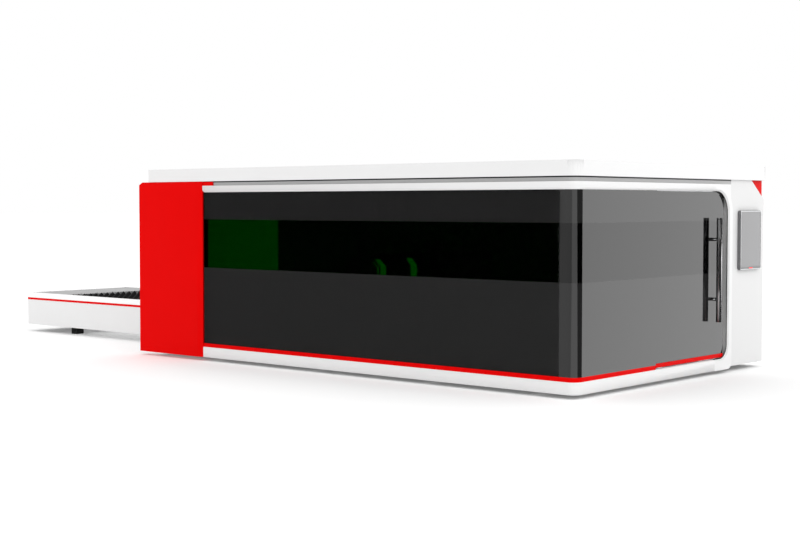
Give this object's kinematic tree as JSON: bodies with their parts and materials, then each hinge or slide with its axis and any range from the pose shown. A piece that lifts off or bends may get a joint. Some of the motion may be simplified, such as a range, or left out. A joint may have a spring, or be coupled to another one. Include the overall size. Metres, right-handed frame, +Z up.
{
  "type": "fiber laser cutting machine",
  "caption": "Enclosed flat-bed laser cutter: glazed white cabinet with red corner panel, sliding end door with tube handle, side touch screen and a low exchange table.",
  "frame": {"origin": "centre of the machine's footprint, on the floor", "axes": "+X along the bed towards the operator's end with the sliding door, -X towards the exchange table; +Y from the glazed long side to the service side; +Z up"},
  "size_m": [9.31, 3.475, 2.04],
  "materials": {
    "white_paint": "satin powder coat",
    "red_paint": "glossy powder coat",
    "tinted_glass": "tinted toughened glass with dark printed bands",
    "green_filter": "green laser filter pane",
    "black_panel": "matt black sheet",
    "grey_plastic": "moulded housing",
    "screen_glass": "cover glass of the touch screen",
    "aluminium": "anodised",
    "polished_steel": "polished tube",
    "galvanised_steel": "galvanised sheet",
    "black_rubber": "rubber strip",
    "grey_paint": "grey paint",
    "bare_steel": "ground steel",
    "black_iron": "black mill finish",
    "black_plastic": "moulded links",
    "head_alloy": "machined alloy body"
  },
  "bodies": {
    "machine": {"sill": "white_paint", "header": "white_paint", "base_ring": "white_paint", "end_upright": "white_paint", "neck": "white_paint", "lid": "white_paint", "lid_ribs": "galvanised_steel", "red_panel": "red_paint", "side_glass": "tinted_glass", "corner_glass": "tinted_glass", "side_strip": "red_paint", "liners": "black_panel", "laser_window": "green_filter", "side_panel": "white_paint", "corner_wedge": "red_paint", "door_channels": "aluminium", "monitor_shell": "grey_plastic", "monitor_glass": "screen_glass", "far_wall": "white_paint", "service_hinges": "polished_steel", "outlet_collar": "galvanised_steel", "left_wall": "white_paint", "doorway_curtain": "black_rubber", "table_covers": "white_paint", "table_strips": "red_paint", "table_cover": "grey_paint", "table_frame": "grey_paint", "pallet_rails": "bare_steel", "feet": "black_iron", "bed": "grey_paint", "slag_trays": "galvanised_steel", "dust_duct": "galvanised_steel", "x_rails_and_racks": "bare_steel", "pallet_chains": "bare_steel", "pallet_drive": "black_iron", "control_bay": "grey_paint", "energy_chain": "black_plastic"},
    "operator_door": {"door_glass": "tinted_glass", "door_rails": "red_paint", "handle": "polished_steel"},
    "service_door": {"service_door": "white_paint"},
    "electrical_door": {"electrical_door": "white_paint"},
    "gantry": {"gantry_beam": "aluminium", "gantry_feet": "bare_steel", "gantry_drives": "black_iron"},
    "near_pinion": {"x_pinion_near": "bare_steel"},
    "far_pinion": {"x_pinion_far": "bare_steel"},
    "carriage": {"carriage": "aluminium"},
    "cross_pinion": {"y_pinion": "bare_steel"},
    "head": {"cutting_head": "head_alloy"},
    "upper_pallet": {"upper_pallet": "black_iron", "upper_slats": "black_iron"},
    "upper_inner_axle": {"upper_axle_inner": "bare_steel"},
    "upper_outer_axle": {"upper_axle_outer": "bare_steel"},
    "lower_pallet": {"lower_pallet": "black_iron", "lower_slats": "black_iron"},
    "lower_inner_axle": {"lower_axle_inner": "bare_steel"},
    "lower_outer_axle": {"lower_axle_outer": "bare_steel"},
    "drive_shaft": {"drive_shaft": "bare_steel"},
    "idler_shaft": {"idler_shaft": "bare_steel"}
  },
  "joints": [
    {"name": "operator_door_slide", "type": "slide", "parent": "machine", "child": "operator_door", "axis": [0, -1, 0], "range_m": [0, 1]},
    {"name": "service_door_hinge", "type": "hinge", "parent": "machine", "child": "service_door", "pos_m": [0.291, 1.7295, 1], "axis": [0, 0, 1], "range_deg": [0, 110]},
    {"name": "electrical_door_hinge", "type": "hinge", "parent": "machine", "child": "electrical_door", "pos_m": [3.131, 1.7295, 1], "axis": [0, 0, 1], "range_deg": [0, 110]},
    {"name": "gantry_travel", "type": "slide", "parent": "machine", "child": "gantry", "axis": [1, 0, 0], "range_m": [-1.56, 1.44]},
    {"name": "near_pinion_turn", "type": "hinge", "parent": "gantry", "child": "near_pinion", "pos_m": [1.291, -0.8448, 0.79], "axis": [0, 0, 1], "continuous": true},
    {"name": "far_pinion_turn", "type": "hinge", "parent": "gantry", "child": "far_pinion", "pos_m": [1.291, 0.8598, 0.79], "axis": [0, 0, 1], "continuous": true},
    {"name": "carriage_travel", "type": "slide", "parent": "gantry", "child": "carriage", "axis": [0, 1, 0], "range_m": [-0.72, 0.72]},
    {"name": "cross_pinion_turn", "type": "hinge", "parent": "carriage", "child": "cross_pinion", "pos_m": [1.531, 0.0075, 1.1772], "axis": [1, 0, 0], "continuous": true},
    {"name": "head_lift", "type": "slide", "parent": "carriage", "child": "head", "axis": [0, 0, 1], "range_m": [-0.07, 0.04]},
    {"name": "upper_pallet_travel", "type": "slide", "parent": "machine", "child": "upper_pallet", "axis": [1, 0, 0], "range_m": [0, 4]},
    {"name": "lower_pallet_travel", "type": "slide", "parent": "machine", "child": "lower_pallet", "axis": [1, 0, 0], "range_m": [-4, 0]},
    {"name": "upper_inner_wheels", "type": "hinge", "parent": "upper_pallet", "child": "upper_inner_axle", "pos_m": [-1.189, 0.0075, 0.385], "axis": [0, 1, 0], "continuous": true},
    {"name": "upper_outer_wheels", "type": "hinge", "parent": "upper_pallet", "child": "upper_outer_axle", "pos_m": [-3.539, 0.0075, 0.385], "axis": [0, 1, 0], "continuous": true},
    {"name": "lower_inner_wheels", "type": "hinge", "parent": "lower_pallet", "child": "lower_inner_axle", "pos_m": [2.811, 0.0075, 0.195], "axis": [0, 1, 0], "continuous": true},
    {"name": "lower_outer_wheels", "type": "hinge", "parent": "lower_pallet", "child": "lower_outer_axle", "pos_m": [0.461, 0.0075, 0.195], "axis": [0, 1, 0], "continuous": true},
    {"name": "drive_shaft_turn", "type": "hinge", "parent": "machine", "child": "drive_shaft", "pos_m": [-4.409, 0.0075, 0.235], "axis": [0, 1, 0], "continuous": true},
    {"name": "idler_shaft_turn", "type": "hinge", "parent": "machine", "child": "idler_shaft", "pos_m": [3.391, 0.0075, 0.235], "axis": [0, 1, 0], "continuous": true}
  ],
  "couplings": [
    {"joint": "near_pinion_turn", "follows": "gantry_travel", "rad_per_m": -31.447},
    {"joint": "far_pinion_turn", "follows": "gantry_travel", "rad_per_m": 31.447},
    {"joint": "cross_pinion_turn", "follows": "carriage_travel", "rad_per_m": -31.447},
    {"joint": "lower_pallet_travel", "follows": "upper_pallet_travel", "ratio": -1},
    {"joint": "upper_inner_wheels", "follows": "upper_pallet_travel", "rad_per_m": 25},
    {"joint": "upper_outer_wheels", "follows": "upper_pallet_travel", "rad_per_m": 25},
    {"joint": "lower_inner_wheels", "follows": "upper_pallet_travel", "rad_per_m": -25},
    {"joint": "lower_outer_wheels", "follows": "upper_pallet_travel", "rad_per_m": -25},
    {"joint": "drive_shaft_turn", "follows": "upper_pallet_travel", "rad_per_m": 10.526},
    {"joint": "idler_shaft_turn", "follows": "upper_pallet_travel", "rad_per_m": 10.526}
  ]
}
